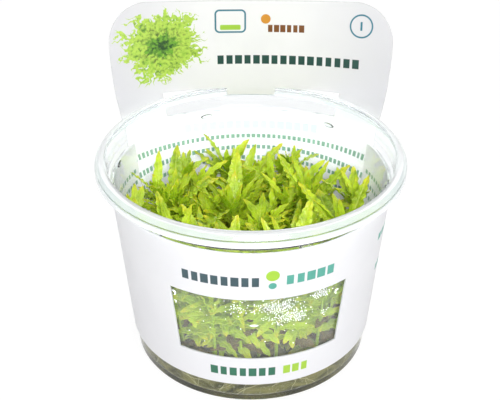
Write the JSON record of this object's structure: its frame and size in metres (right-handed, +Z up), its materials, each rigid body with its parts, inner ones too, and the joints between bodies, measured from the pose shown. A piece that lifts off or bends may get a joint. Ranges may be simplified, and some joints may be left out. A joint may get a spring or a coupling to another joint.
{
  "type": "tissue culture downoi",
  "caption": "Downoi rosettes rooted in a disc of nutrient gel in a clear tapered plastic cup, held in a white card sleeve with a window and a header that stands up behind the rim.",
  "frame": {"origin": "middle of the cup's base, on the surface that it stands on", "axes": "+Z up along the cup's axis, -Y towards the sleeve's window, +X to the right seen from there"},
  "size_m": [0.1006, 0.1006, 0.1034],
  "materials": {
    "clear_plastic": "clear, polished, faintly cool in its thick edges",
    "card": "white coated card, satin, with flat printed bands and marks",
    "gel": "moist olive-brown gel, cloudy, with pale roots",
    "stem": "green plant stem, satin",
    "young_leaf": "bright yellow-green leaf, waxy, with yellow tips",
    "leaf": "green leaf, waxy, with a paler midrib"
  },
  "bodies": {
    "root": {"cup": "clear_plastic", "sleeve": "card", "nutrient_gel": "gel", "plant_1_stem": "stem", "plant_1_leaf_1": "young_leaf", "plant_1_leaf_2": "young_leaf", "plant_1_leaf_3": "young_leaf", "plant_1_leaf_4": "leaf", "plant_1_leaf_5": "leaf", "plant_1_leaf_6": "leaf", "plant_2_stem": "stem", "plant_2_leaf_1": "young_leaf", "plant_2_leaf_2": "young_leaf", "plant_2_leaf_3": "young_leaf", "plant_2_leaf_4": "leaf", "plant_2_leaf_5": "leaf", "plant_2_leaf_6": "leaf", "plant_3_stem": "stem", "plant_3_leaf_1": "young_leaf", "plant_3_leaf_2": "young_leaf", "plant_3_leaf_3": "young_leaf", "plant_3_leaf_4": "leaf", "plant_3_leaf_5": "leaf", "plant_3_leaf_6": "leaf", "plant_4_stem": "stem", "plant_4_leaf_1": "young_leaf", "plant_4_leaf_2": "young_leaf", "plant_4_leaf_3": "young_leaf", "plant_4_leaf_4": "leaf", "plant_4_leaf_5": "leaf", "plant_4_leaf_6": "leaf", "plant_5_stem": "stem", "plant_5_leaf_1": "young_leaf", "plant_5_leaf_2": "young_leaf", "plant_5_leaf_3": "young_leaf", "plant_5_leaf_4": "leaf", "plant_5_leaf_5": "leaf", "plant_5_leaf_6": "leaf", "plant_6_stem": "stem", "plant_6_leaf_1": "young_leaf", "plant_6_leaf_2": "young_leaf", "plant_6_leaf_3": "young_leaf", "plant_6_leaf_4": "leaf", "plant_6_leaf_5": "leaf", "plant_6_leaf_6": "leaf", "plant_7_stem": "stem", "plant_7_leaf_1": "young_leaf", "plant_7_leaf_2": "young_leaf", "plant_7_leaf_3": "young_leaf", "plant_7_leaf_4": "leaf", "plant_7_leaf_5": "leaf", "plant_7_leaf_6": "leaf", "plant_8_stem": "stem", "plant_8_leaf_1": "young_leaf", "plant_8_leaf_2": "young_leaf", "plant_8_leaf_3": "young_leaf", "plant_8_leaf_4": "leaf", "plant_8_leaf_5": "leaf", "plant_8_leaf_6": "leaf"}
  },
  "joints": []
}
